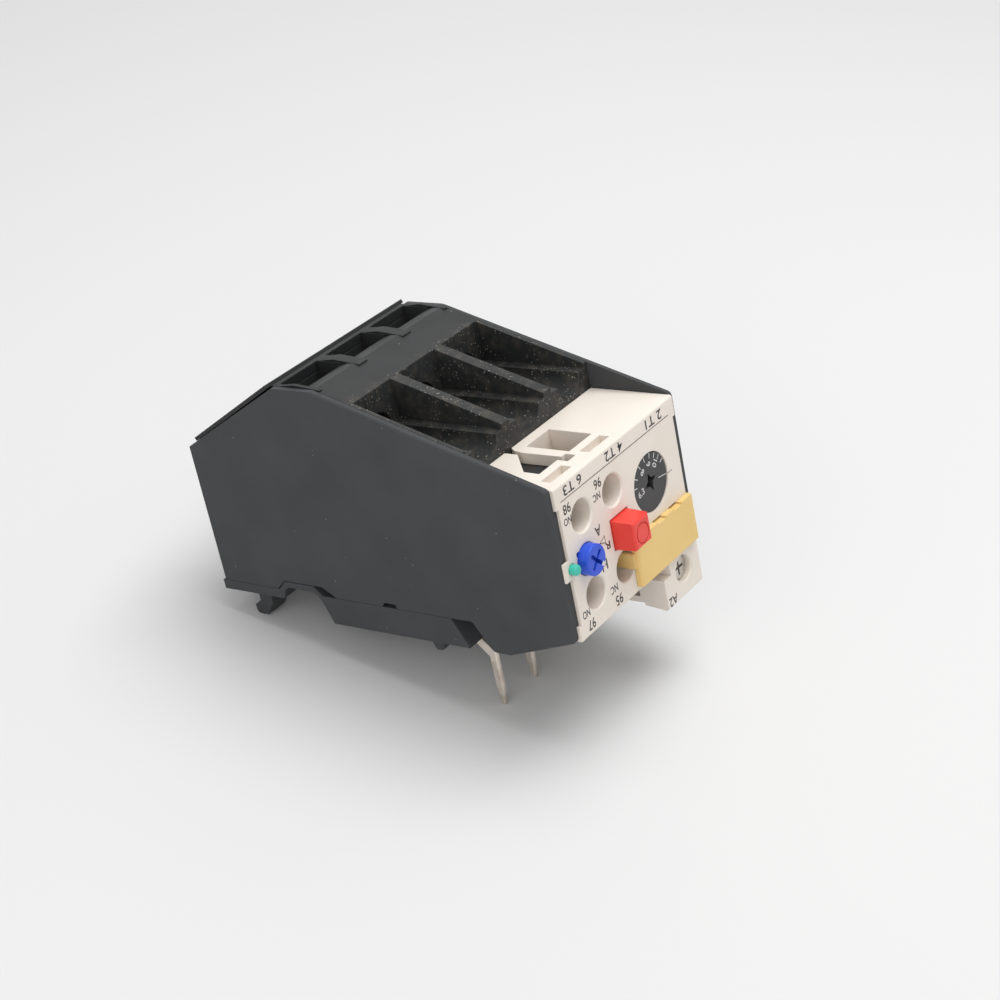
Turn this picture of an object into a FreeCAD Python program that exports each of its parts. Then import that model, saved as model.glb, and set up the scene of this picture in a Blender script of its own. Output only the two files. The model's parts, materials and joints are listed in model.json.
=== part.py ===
import FreeCAD, Part
import os
import re
import Sketcher

# Thermal overload relay, 45 mm wide, for plugging onto a contactor.
#
# Working frame, in millimetres: X to the right seen from the front, Y from the front face to the
# rear, Z up on the side where the load cables go in. x = 0 is the middle of the width, y = 0 the
# front face and z = 0 the top edge of the front face. At the end every piece is moved so that the
# origin of the part is the tip of the middle plug pin.

SIZES = {
    # case outline
    "width": 45.0, "cover_wall": 1.2, "fit": 0.1, "depth": 90.2,
    "front_drop": 31.4, "nose_run": 17.0, "nose_drop": 37.0, "nose_end": 21.0, "nose_rise": 25.1,
    "seam_drop": 30.6, "roof_height": 15.8, "roof_front": 52.8, "roof_rear": 62.9, "rear_top": 0.6,
    "edge_round": 1.2, "side_wall": 1.8, "peg_radius": 1.2, "peg_length": 1.3,
    # three poles: screw pockets, screwdriver troughs, wire slots
    "pocket_rear": 44.3, "trough_height": 4.6,
    "trough_radius": 3.75, "slot_front": 56.0, "slot_length": 6.5,
    "chamber_front": 46.0, "chamber_drop": 4.4, "chamber_half": 5.0,
    # inner spaces of the housing
    "front_room_rear": 29.0, "front_room_floor": 29.2, "front_room_roof": 4.2,
    "rear_room_front": 31.0, "rear_room_rear": 86.0, "rear_room_roof": 3.0,
    "cell_front": 40.0, "cell_wall": 1.4,
    # cream front piece
    "deck_depth": 19.0, "deck_wall": 2.3, "panel_wall": 2.3, "panel_drop": 31.8,
    "rim_top": 4.4, "rim_low": 28.6, "rim_depth": 1.6, "cover_front": 0.6,
    "funnel_wall": 0.8, "funnel_drop": 5.0, "funnel_left": 5.8, "funnel_right": 2.0,
    "funnel_front": 6.4, "funnel_rear": 16.4,
    # auxiliary terminals
    "aux_right": 3.25, "aux_upper": 8.7, "aux_lower": 25.05, "aux_bore": 3.2,
    "aux_mouth": 0.3, "boss_wall": 0.8, "boss_end": 6.6, "aux_head": 2.8, "aux_head_front": 7.6,
    "aux_head_height": 2.2, "aux_shank": 1.7, "aux_plate": 6.8, "aux_washer_thick": 1.0,
    "aux_bar_front": 14.4, "aux_bar_thick": 1.2, "aux_screw_end": 17.0,
    # setting dial
    "dial_drop": 13.25, "dial_radius": 5.95, "dial_thick": 2.65, "dial_inset": 0.15,
    "dial_gap": 0.1, "star_radius": 2.25, "star_waist": 0.95, "star_turn": 15.0,
    "dial_stem": 2.4, "dial_stem_end": 16.0, "cup_wall": 0.9,
    "cam_radius": 4.2, "cam_throw": 0.8, "cam_front": 11.0, "cam_thick": 2.5,
    # stop button
    "stop_x": 2.8, "stop_drop": 17.2, "stop_width": 6.1, "stop_height": 6.3, "stop_reach": 4.9,
    "stop_taper": 0.3, "ring_radius": 2.15, "ring_wall": 0.3, "stop_travel": 2.4, "stop_rear": 4.0,
    "guide_gap": 0.15, "guide_end": 9.0, "rod_radius": 0.9, "rod_shift": 0.9, "wire": 0.25,
    # reset knob
    "reset_drop": 17.3, "reset_radius": 3.1, "reset_reach": 2.2,
    "reset_rear": 2.0, "reset_travel": 1.9, "reset_rod": 1.6, "collar": 0.9,
    # trip flag
    "flag_drop": 16.9, "flag_radius": 1.05, "flag_reach": 1.5,
    "tab_top": 14.9, "tab_bottom": 18.8, "tab_depth": 0.5,
    # marking plate
    "plate_left": 0.9, "tongue_left": 1.6, "tongue_wall": 0.75, "plate_top": 21.0,
    "plate_bottom": 31.0, "plate_reach": 1.4, "clip_gap": 0.4,
    # coil terminal block
    "coil_drop": 41.3, "coil_depth": 9.6, "coil_step": 5.5, "coil_screw_drop": 35.4,
    "coil_bore": 2.75,
    # plug pins
    "pin_pitch": 10.8, "pin_middle": 5.4, "pin_y": 26.5, "pin_drop": 53.1, "pin_wide": 1.9,
    "pin_thick": 1.2, "pin_taper": 4.0, "pin_short": 1.2, "pin_knee": 41.4, "slot_start": 28.6,
    "pin_root_y": 33.0, "pin_root_drop": 18.0,
    # base
    "base_front": 30.0, "base_foot": 26.7, "base_drop": 36.9, "base_rise": 61.6, "strip_drop": 32.8,
    "base_rear": 91.0, "arch_front": 64.0, "arch_rear": 74.2, "arch_roof": 30.0, "arch_wall": 1.3,
    "hook_width": 5.5, "hook_front": 80.2, "hook_rear": 84.2, "hook_barb": 86.1,
    "hook_drop": 39.4,
    # rear cover and wire guard
    "cover_sheet": 0.8, "sheet_gap": 0.05, "sheet_lift": 0.35, "lip_start": 2.6,
    "lip_thick": 1.6, "lip_depth": 1.0, "guard_bar": 1.3, "guard_depth": 2.1,
    "finger_width": 2.6, "finger_front": 51.4, "finger_rise": 0.5, "finger_thick": 0.9,
    # current path
    "cage_half": 4.6, "cage_front": 51.8, "cage_rear": 62.2, "cage_wall": 1.1, "cage_nut": 2.4,
    "screw_head": 3.4, "screw_head_front": 47.2, "screw_head_height": 2.6, "screw_shank": 1.95,
    "bar_y": 55.3, "bar_thick": 1.0, "bar_half": 3.2, "bar_end": 79.8, "strip_thick": 0.9,
    "strip_top": 13.0, "strip_bottom": 20.0, "strip_front": 35.4,
    "heater_front": 46.0, "heater_rear": 70.0, "heater_wall": 0.8, "lead_top": 24.5,
    "lead_bottom": 27.0, "lead_thick": 0.8,
    # trip works
    "slide_front": 36.0, "slide_thick": 1.5, "slide_top": 10.9, "slide_bottom": 22.0,
    "slide_travel": 1.5, "lever_y": 26.0, "lever_top": 8.0,
    "lever_bottom": 10.6, "pivot_radius": 1.0, "hub_radius": 2.2, "setter_y": 24.0,
    "carrier_front": 21.8, "carrier_thick": 1.6, "carrier_top": 14.0, "carrier_bottom": 18.5,
    "blade_front": 17.5, "blade_thick": 0.4, "blade_half": 1.5, "blade_root": 22.5,
    "blade_tip": 11.6, "rivet_drop": 12.7, "rivet_radius": 1.0, "contact_gap": 1.2,
    "shelf_drop": 18.6,
}

# places and widths that follow the width of the case
ACROSS = {
    "pole_pitch": "(width-1.8)/3",
    "pocket_width": "pole_pitch-2.5",
    "slot_width": "pole_pitch-3",
    "panel_width": "width-4.2",
    "aux_left": "width/2-8.55",
    "reset_x": "width/2-7.65",
    "flag_x": "width/2-2.55",
    "arm_side": "flag_x-1.15",
    "carrier_side": "flag_x-0.85",
    "tab_reach": "width/2-0.3",
    "plate_right": "width/2-2",
    "dial_x": "width/2-13",
    "coil_left": "width/2-14.6",
    "coil_screw_x": "width/2-7.2",
    "hook_side": "width/2-2.5",
    "slide_half": "width/2-4.9",
    "lever_x": "width/2-10.5",
    "setter_x": "width/2-6.9",
}

doc = FreeCAD.newDocument("overload_relay")
sheet = doc.addObject("Spreadsheet::Sheet", "Sizes")
for row, (alias, size) in enumerate({**SIZES, **ACROSS}.items(), 1):
    sheet.set(f"A{row}", alias)
    sheet.set(f"B{row}", f"={size}" if alias in ACROSS else str(size))
    sheet.setAlias(f"B{row}", alias)
doc.recompute()

WORD = re.compile(r"[a-z_]+")
NAMES = {*SIZES, *ACROSS}


def formula(text):
    """The text of a size, with each name of the sheet written as the sheet's own cell."""
    return WORD.sub(lambda word: "Sizes." + word[0] if word[0] in NAMES else word[0], str(text))


def value(text):
    """What a formula comes to now."""
    return float(sheet.evalExpression(formula(text)))


# ---- helpers: sketches on a body's own planes, pads, pockets, rounds -----------------------------

PLANES = {"XY": "XY_Plane", "XZ": "XZ_Plane", "YZ": "YZ_Plane"}
subparts = []


def new_body(label):
    """A body for one sub-part."""
    body = doc.addObject("PartDesign::Body", label + "_body")
    body.Label = label
    subparts.append(body)
    return body


def new_sketch(body, plane, start):
    """A sketch parallel to an origin plane, moved along its axis to start."""
    role = PLANES[plane]
    origin_plane = [item for item in body.Origin.OriginFeatures if item.Role == role][0]
    sketch = body.newObject("Sketcher::SketchObject", "sketch")
    sketch.AttachmentSupport = (origin_plane, [""])
    sketch.MapMode = "FlatFace"
    sign = "-" if plane == "XZ" else ""
    sketch.setExpression("AttachmentOffset.Base.z", f"{sign}({formula(start)})")
    return sketch


def bind(sketch, kind, geometry, point, text):
    """Hold one coordinate of a sketch point at a formula."""
    rule = Sketcher.Constraint(kind, -1, 1, geometry, point, value(text))
    index = sketch.addConstraint(rule)
    sketch.setExpression(f"Constraints[{index}]", formula(text))


def draw_outline(sketch, corners):
    """A closed outline of straight lines through corners."""
    first = sketch.GeometryCount
    spots = [FreeCAD.Vector(value(across), value(up), 0) for across, up in corners]
    count = len(spots)
    for index in range(count):
        sketch.addGeometry(Part.LineSegment(spots[index], spots[(index + 1) % count]), False)
    for index in range(count):
        after = first + (index + 1) % count
        sketch.addConstraint(Sketcher.Constraint("Coincident", first + index, 2, after, 1))
    for index, (across, up) in enumerate(corners):
        bind(sketch, "DistanceX", first + index, 1, across)
        bind(sketch, "DistanceY", first + index, 1, up)


def draw_circle(sketch, across, up, radius):
    """A circle held at its centre and radius."""
    centre = FreeCAD.Vector(value(across), value(up), 0)
    circle = Part.Circle(centre, FreeCAD.Vector(0, 0, 1), value(radius))
    geometry = sketch.addGeometry(circle, False)
    bind(sketch, "DistanceX", geometry, 3, across)
    bind(sketch, "DistanceY", geometry, 3, up)
    rule = sketch.addConstraint(Sketcher.Constraint("Radius", geometry, value(radius)))
    sketch.setExpression(f"Constraints[{rule}]", formula(radius))


def rect(left, right, low, high):
    """The four corners of a rectangle."""
    return [(left, low), (right, low), (right, high), (left, high)]


def around(across, up, half_across, half_up):
    """The four corners of a rectangle about a centre."""
    return rect(f"{across}-({half_across})", f"{across}+({half_across})",
                f"{up}-({half_up})", f"{up}+({half_up})")


def turned_bar(across, up, half_length, half_width, angle):
    """The four corners of a bar about a centre, turned by an angle in degrees."""
    corners = []
    for along, off in ((-1, -1), (1, -1), (1, 1), (-1, 1)):
        along, off = f"{along}*({half_length})", f"{off}*({half_width})"
        corners.append((f"{across}+{along}*cos({angle})-{off}*sin({angle})",
                        f"{up}+{along}*sin({angle})+{off}*cos({angle})"))
    return corners


def sketched(body, kind, plane, start, length, shapes):
    """A pad or pocket of the shapes, from start over length along the plane's axis."""
    sketch = new_sketch(body, plane, start)
    for shape in shapes:
        if isinstance(shape, tuple):
            draw_circle(sketch, *shape)
        else:
            draw_outline(sketch, shape)
    feature = body.newObject("PartDesign::" + kind, kind.lower())
    feature.Profile = sketch
    feature.setExpression("Length", formula(length))
    towards_normal = kind == "Pad"
    feature.Reversed = towards_normal if plane == "XZ" else not towards_normal
    return feature


def add(body, plane, start, length, *shapes):
    """Material: the shapes, padded from start over length."""
    return sketched(body, "Pad", plane, start, length, shapes)


def cut(body, plane, start, length, *shapes):
    """A hole: the shapes, pocketed from start over length."""
    return sketched(body, "Pocket", plane, start, length, shapes)


def edges_at(body, *points):
    """The names of the edges that pass through points."""
    doc.recompute()
    found = []
    for place in points:
        vertex = Part.Vertex(*[value(item) for item in place])
        near = [(edge.distToShape(vertex)[0], index) for index, edge in enumerate(body.Shape.Edges, 1)]
        gap, index = min(near)
        if gap > 0.02:
            raise RuntimeError(f"{body.Label}: no edge at {place}")
        found.append(f"Edge{index}")
    return found


def soften(body, kind, size, *points):
    """A fillet or chamfer on the edges that pass through points."""
    names = edges_at(body, *points)
    base = body.Tip
    feature = body.newObject("PartDesign::" + kind, kind.lower())
    feature.Base = (base, names)
    feature.setExpression("Radius" if kind == "Fillet" else "Size", formula(size))
    return feature


def on_rear_slope(along, off):
    """A point of the side view, along the rear slope from the roof and off its face."""
    run = "sqrt((depth-roof_rear)^2+(roof_height-rear_top)^2)"
    across = f"((depth-roof_rear)/{run})"
    down = f"((roof_height-rear_top)/{run})"
    return (f"roof_rear+({along})*{across}+({off})*{down}",
            f"roof_height-({along})*{down}+({off})*{across}")


def slope(y):
    """The height of the case's sloping top at y."""
    return f"roof_height*({y})/roof_front"


POLES = ["-pole_pitch", "0", "pole_pitch"]
PINS = ["-pin_middle-pin_pitch", "-pin_middle", "pin_pitch-pin_middle"]
AUX = {
    "98": ("-aux_left", "-aux_upper"), "96": ("-aux_right", "-aux_upper"),
    "97": ("-aux_left", "-aux_lower"), "95": ("-aux_right", "-aux_lower"),
}
INSIDE = "width/2-cover_wall"
HALF = "width/2-cover_wall-fit"


# ---- black mouldings -----------------------------------------------------------------------------

def make_housing():
    """The main moulding: screw pockets in its slope, wire slots in its roof, two rooms inside."""
    body = new_body("housing")
    front = "panel_wall+fit"
    under_deck = "-(deck_wall+fit)"
    wall = "deck_depth+fit"
    nose_slope = "(nose_drop-front_drop)/nose_run"
    profile = [
        (front, under_deck), (front, f"-(front_drop+{nose_slope}*({front}))"),
        ("nose_run", "-nose_drop"), ("nose_end", "-nose_drop"), ("nose_rise", "-seam_drop"),
        ("depth", "-seam_drop"), ("depth", "rear_top"), ("roof_rear", "roof_height"),
        ("roof_front", "roof_height"), (wall, slope(wall)), (wall, under_deck),
    ]
    add(body, "YZ", f"-({HALF})", f"2*({HALF})", profile)
    for pole in POLES:
        left, right = f"{pole}-pocket_width/2", f"{pole}+pocket_width/2"
        pocket = [("deck_depth", "trough_height"), ("pocket_rear", "trough_height"),
                  ("pocket_rear", "roof_height"), ("deck_depth", "roof_height")]
        cut(body, "YZ", left, "pocket_width", pocket)
        cut(body, "XZ", "deck_depth", "chamber_front-deck_depth+1",
            (pole, "trough_height", "trough_radius"))
        chamber = around(pole, "trough_height", "chamber_half", "chamber_drop")
        cut(body, "XZ", "chamber_front", "slot_front+slot_length-chamber_front", chamber)
        slot = rect(f"{pole}-slot_width/2", f"{pole}+slot_width/2", "slot_front",
                    "slot_front+slot_length")
        cut(body, "XY", "trough_height-chamber_drop", "roof_height", slot)
        bar_slot = rect(f"{pole}-bar_half-2*fit", f"{pole}+bar_half+2*fit", "bar_y-fit",
                        "bar_y+bar_thick+fit")
        cut(body, "XY", "-(rear_room_roof+1)", "rear_room_roof+2+trough_height-chamber_drop", bar_slot)
    make_rooms(body)
    make_top_seats(body)
    cut_peg_holes(body)
    lip_groove = [on_rear_slope("lip_start-fit", "1"), on_rear_slope("lip_start+lip_thick+fit", "1"),
                  on_rear_slope("lip_start+lip_thick+fit", "-lip_depth-fit"),
                  on_rear_slope("lip_start-fit", "-lip_depth-fit")]
    cut(body, "YZ", "-(pole_pitch+2+fit)", "2*(pole_pitch+2+fit)", lip_groove)
    coil_seat = rect("coil_left-2*fit", "width/2", f"{front}-fit", "coil_depth+2*fit")
    cut(body, "XY", "-(nose_drop+1)", "nose_drop+1-panel_drop", coil_seat)
    flag_run = rect("-width/2", "-(width/2-cover_wall-side_wall-fit)+fit", "-(flag_drop+1.3)",
                    "-(flag_drop-1.3)")
    cut(body, "XZ", "panel_wall", "10.2", flag_run)
    return body


def make_rooms(body):
    """The front room for the switch works, and the rear room with a cell for each pole."""
    inner = "(width/2-cover_wall-fit-side_wall)"
    cut(body, "XZ", "panel_wall", "front_room_rear-panel_wall",
        rect(f"-{inner}", inner, "-front_room_floor", "-front_room_roof"))
    cut(body, "XY", "-(front_room_roof+1)", "front_room_roof", funnel("(funnel_wall+fit)"))
    bars = rect("-(aux_left+aux_plate/2+0.4)", "-(aux_right-aux_plate/2-0.4)", "aux_bar_front-0.8",
                "aux_bar_front+aux_bar_thick+0.8")
    upper = "aux_upper-aux_plate/2"
    lower = "aux_lower+aux_plate/2"
    left_bar = rect("-(aux_left+aux_plate/2+0.4)", "-(aux_left-aux_plate/2-0.4)",
                    "aux_bar_front-0.8", "aux_bar_front+aux_bar_thick+0.8")
    add(body, "XY", f"-({upper}-fit)", f"{upper}-fit-front_room_roof+0.5", left_bar)
    add(body, "XY", "-(front_room_floor+0.5)", f"front_room_floor+0.5-({lower}+fit)", bars)
    shelf = rect(f"-{inner}-0.5", "-0.3", "-(shelf_drop+1.2)", "-shelf_drop")
    add(body, "XZ", "carrier_front-0.8", "front_room_rear+0.5-carrier_front+0.8", shelf)
    channel = rect(f"-{inner}", inner, "rear_room_front", "cell_front+1")
    cut(body, "XY", "-(seam_drop+1)", "seam_drop+1-rear_room_roof", channel)
    side = "pole_pitch/2+cell_wall/2"
    cells = [rect(f"-{inner}", f"-({side})", "cell_front", "rear_room_rear"),
             rect("-(pole_pitch/2-cell_wall/2)", "pole_pitch/2-cell_wall/2", "cell_front",
                  "rear_room_rear"),
             rect(side, inner, "cell_front", "rear_room_rear")]
    cut(body, "XY", "-(seam_drop+1)", "seam_drop+1-rear_room_roof", *cells)
    cut(body, "XZ", "front_room_rear-1", "rear_room_front-front_room_rear+2",
        rect("-(lever_x+3)", "-(lever_x-4)", "-(lever_bottom+1)", "-(lever_top-1)"))
    arch = [("arch_front-4.8", "-(seam_drop+1)"), ("arch_front-1.4", "-(arch_roof-arch_wall-0.3)"),
            ("arch_rear-1.0", "-(arch_roof-arch_wall-0.3)"), ("arch_rear+2.0", "-(seam_drop+1)")]
    cut(body, "YZ", "-width/2", "width", arch)
    for x, y in (("-lever_x", "lever_y"), ("setter_x", "setter_y")):
        cut(body, "XY", "-(front_room_floor+1)", "front_room_floor+1-front_room_roof+1",
            (x, y, "pivot_radius+fit/2"))


def make_top_seats(body):
    """The bevel before the wire slots, and where the wire guard lies: a rebate and four notches."""
    bevel = [("slot_front-1.7", "roof_height"), ("slot_front+0.1", "roof_height+0.05"),
             ("slot_front+0.1", "roof_height-0.5")]
    cut(body, "YZ", "-width/2", "width", bevel)
    bar_seat = rect("slot_front+slot_length-fit", "depth", "roof_height-guard_depth-fit",
                    "roof_height+1")
    cut(body, "YZ", "-width/2", "width", bar_seat)
    seat = "roof_height-finger_thick-fit"
    for side in (-1, 1):
        middle = f"{side}*pole_pitch/2"
        notch = rect(f"{middle}-finger_width/2-fit", f"{middle}+finger_width/2+fit", "finger_front",
                     "slot_front+slot_length")
        cut(body, "XY", seat, "finger_thick+fit+1", notch)
        left = f"{side}*1.5*pole_pitch"
        end = rect(f"{left}-finger_width/2-fit", f"{left}+finger_width/2+fit", "finger_front",
                   "slot_front+slot_length")
        cut(body, "XY", seat, "finger_thick+fit+1", end)


PEGS = [("14", "-10"), ("80", "-6"), ("50", "12")]


def cut_peg_holes(body):
    """Blind holes in the sides for the covers' pegs."""
    holes = [(y, z, "peg_radius+fit/2") for y, z in PEGS]
    for start in (f"-({HALF})-1", f"{HALF}-peg_length-fit"):
        cut(body, "YZ", start, "peg_length+fit+1", *holes)


def cover_profile():
    """The side view of a cover."""
    low = "-(front_drop+(nose_drop-front_drop)*cover_front/nose_run)"
    return [("cover_front", slope("cover_front")), ("cover_front", low),
            ("nose_run", "-nose_drop"), ("nose_end", "-nose_drop"), ("nose_rise", "-seam_drop"),
            ("43.5", "-seam_drop"), ("43.7", "-(seam_drop-0.9)"), ("46.6", "-(seam_drop-0.9)"),
            ("47.2", "-seam_drop"),
            ("arch_front-4.7", "-seam_drop"), ("arch_front-1.2", "-(seam_drop-2.1)"),
            ("arch_rear-1.2", "-(seam_drop-2.1)"), ("arch_rear+1.1", "-seam_drop"),
            ("depth", "-seam_drop"), ("depth", "rear_top"), ("roof_rear", "roof_height"),
            ("roof_front", "roof_height")]


def make_cover(label, side):
    """A side cover: a thin wall with a rim beside the front piece and three pegs."""
    body = new_body(label)
    outer = f"{side}*width/2"
    inner = f"{side}*({INSIDE})"
    start = outer if side < 0 else inner
    add(body, "YZ", start, "cover_wall", cover_profile())
    rim_edge = f"{side}*(panel_width/2+fit)"
    rim = rect(rim_edge, inner, "-rim_low", "-rim_top")
    add(body, "XZ", "cover_front", "rim_depth-cover_front", rim)
    pegs = [(y, z, "peg_radius") for y, z in PEGS]
    add(body, "YZ", inner if side < 0 else f"{inner}-peg_length", "peg_length", *pegs)
    if side < 0:
        flag_way = rect(f"-({INSIDE})", "-(panel_width/2)", "-(tab_bottom+fit)", "-(tab_top-fit)")
        cut(body, "XZ", "-1", "rim_depth+1+fit", flag_way)
    middle = f"{side}*(width/2-cover_wall/2)"
    soften(body, "Fillet", "edge_round", (middle, "cover_front", slope("cover_front")),
           (middle, "cover_front", "-(front_drop+(nose_drop-front_drop)*cover_front/nose_run)"),
           (middle, "nose_run", "-nose_drop"), (middle, "nose_end", "-nose_drop"))
    soften(body, "Chamfer", "cover_wall/4", (outer, "roof_front/2", slope("roof_front/2")))
    return body


def make_base():
    """The bottom moulding: a hollow foot, an arch across it, and a thin strip with two hooks."""
    body = new_body("base")
    top = "-(seam_drop+fit)"
    profile = [
        ("base_front", top), ("base_foot", "-base_drop"), ("base_rise", "-base_drop"),
        ("arch_front-0.4", "-(arch_roof+1.9)"), ("arch_front", "-(arch_roof+1.3)"),
        ("arch_front+1.4", "-arch_roof"), ("arch_rear-2.0", "-arch_roof"),
        ("arch_rear-0.8", "-(arch_roof+0.7)"), ("arch_rear", "-strip_drop"),
        ("base_rear", "-strip_drop"), ("base_rear", top), ("arch_rear+0.8", top),
        ("arch_rear-1.2", "-(arch_roof-arch_wall)"), ("arch_front+1.2", "-(arch_roof-arch_wall)"),
        ("arch_front-0.8", top),
    ]
    add(body, "YZ", "-width/2", "width", profile)
    room = rect("-(width/2-side_wall-cover_wall)", "width/2-side_wall-cover_wall", "pin_root_y+4",
                "base_rise-2")
    cut(body, "XY", "-(seam_drop+fit+2.0)", "3", room)
    hook = [
        ("hook_front", "-(strip_drop-0.5)"), ("hook_rear", "-(strip_drop-0.5)"),
        ("hook_rear", "-(hook_drop-3.3)"), ("hook_barb", "-(hook_drop-2.0)"),
        ("hook_barb-0.2", "-(hook_drop-0.5)"), ("hook_barb-0.7", "-hook_drop"),
        ("hook_front+2.8", "-hook_drop"), ("hook_front+0.8", "-(hook_drop-2.9)"),
    ]
    nub = [("33.6", "-(base_drop-0.5)"), ("37.4", "-(base_drop-0.5)"), ("36.2", "-(base_drop+2.3)"),
           ("34.7", "-(base_drop+2.3)")]
    for start in ("-hook_side", "hook_side-hook_width"):
        add(body, "YZ", start, "hook_width", hook)
    for start in ("-(hook_side+1.6)", "hook_side-0.4"):
        add(body, "YZ", start, "2.0", nub)
    slots = [rect(f"{pin}-pin_thick/2-fit", f"{pin}+pin_thick/2+fit", "slot_start",
                  "pin_root_y+pin_wide/2+fit") for pin in PINS]
    cut(body, "XY", "-(base_drop+1)", "base_drop-seam_drop+2", *slots)
    return body


def make_rear_cover():
    """The thin sheet over the rear slope, with a lip that hooks behind the wire guard."""
    body = new_body("rear_cover")
    spot = on_rear_slope
    top, low = "sheet_gap+sheet_lift", "sheet_gap"
    sheet_side = [spot("1.2", f"{top}+cover_sheet"), spot("28.3", f"{low}+cover_sheet"),
                  spot("28.3", low), spot("1.2", top)]
    add(body, "YZ", "-(width/2-fit)", "width-2*fit", sheet_side)
    lip = [spot("lip_start", "sheet_gap+0.5"), spot("lip_start+lip_thick", "sheet_gap+0.5"),
           spot("lip_start+lip_thick", "-lip_depth"), spot("lip_start", "-lip_depth")]
    add(body, "YZ", "-(pole_pitch+2)", "2*(pole_pitch+2)", lip)
    return body


def make_wire_guard():
    """A comb that lies on the roof: a bar behind the wire slots and four fingers between them."""
    body = new_body("wire_guard")
    rear = "slot_front+slot_length"
    bar = rect(rear, f"{rear}+guard_bar", "roof_height-guard_depth", "roof_height")
    add(body, "YZ", "-(width/2-cover_wall-2*fit)", "2*(width/2-cover_wall-2*fit)", bar)
    low = "roof_height-finger_thick"
    finger = [("finger_front+fit", low), (f"{rear}+guard_bar/2", low),
              (f"{rear}+guard_bar/2", "roof_height"), (f"{rear}-0.8", "roof_height"),
              ("slot_front+2.2", "roof_height+finger_rise"),
              ("slot_front-0.8", "roof_height+finger_rise/2"),
              ("finger_front+fit", "roof_height-0.1")]
    for middle in ("-pole_pitch/2", "pole_pitch/2"):
        add(body, "YZ", f"{middle}-finger_width/2", "finger_width", finger)
    end_width = "(width/2-cover_wall-2*fit)-(1.5*pole_pitch-finger_width/2)"
    add(body, "YZ", "-(width/2-cover_wall-2*fit)", end_width, finger)
    add(body, "YZ", "1.5*pole_pitch-finger_width/2", end_width, finger)
    return body


# ---- cream front piece and what clips to it ------------------------------------------------------

def make_front_panel():
    """The front wall and deck in one moulding, with guides behind each hole."""
    body = new_body("front_panel")
    half = "panel_width/2"
    wide = "width/2-cover_wall-fit"
    wall = []
    for side in (-1, 1):
        edge = [(wide, "0"), (wide, "-(rim_top-fit)"), (half, "-(rim_top-fit)"),
                (half, "-(rim_low+fit)"), (wide, "-(rim_low+fit)"), (wide, "-panel_drop")]
        wall += [(f"{side}*({x})", z) for x, z in edge[::-side]]
    add(body, "XZ", "0", "rim_depth", wall)
    add(body, "XZ", "0", "tab_depth", rect("-tab_reach", f"0.5-({half})", "-tab_bottom", "-tab_top"))
    add(body, "XZ", "rim_depth", "panel_wall-rim_depth",
        rect(f"-({half})", half, "-panel_drop", "0"))
    add(body, "XY", "-deck_wall", "deck_wall", rect(f"-({wide})", wide, "0.5", "deck_depth"))
    cut_deck(body)
    add_guides(body)
    cut(body, "XZ", "-1", "panel_wall+2", *clip_slots("0", "-plate_top-2*clip_gap", "2*clip_gap"))
    soften(body, "Fillet", "0.5", ("0", "0", "0"))
    return body


def funnel(margin):
    """The outline of the wire funnel in the deck, with a margin round it."""
    return rect(f"-funnel_left-{margin}", f"funnel_right+{margin}", f"funnel_front-{margin}",
                f"funnel_rear+{margin}")


def cut_deck(body):
    """The funnels and openings in the deck, through which the auxiliary wires go in."""
    add(body, "XY", "-funnel_drop", "funnel_drop-deck_wall/2", funnel("funnel_wall"))
    cut(body, "XY", "-funnel_drop-1", "funnel_drop+2", funnel("0"))
    cut(body, "XY", "-1.6", "3", rect("-5.3", "1.7", "2.2", "4.4"),
        rect("-18.3", "-11.5", "2.2", "4.5"))
    opening = [("-15.7", "6.6"), ("-9.6", "6.6"), ("-9.6", "4.2"), ("-6.9", "4.2"), ("-6.9", "6.6"),
               ("-8.2", "6.6"), ("-8.4", "15.6"), ("-8.0", "17.6"), ("-6.4", "deck_depth+1"),
               ("-9.4", "deck_depth+1"), ("-9.3", "16.0"), ("-15.6", "10.2")]
    cut(body, "XY", "-deck_wall-1", "deck_wall+2", opening)


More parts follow.
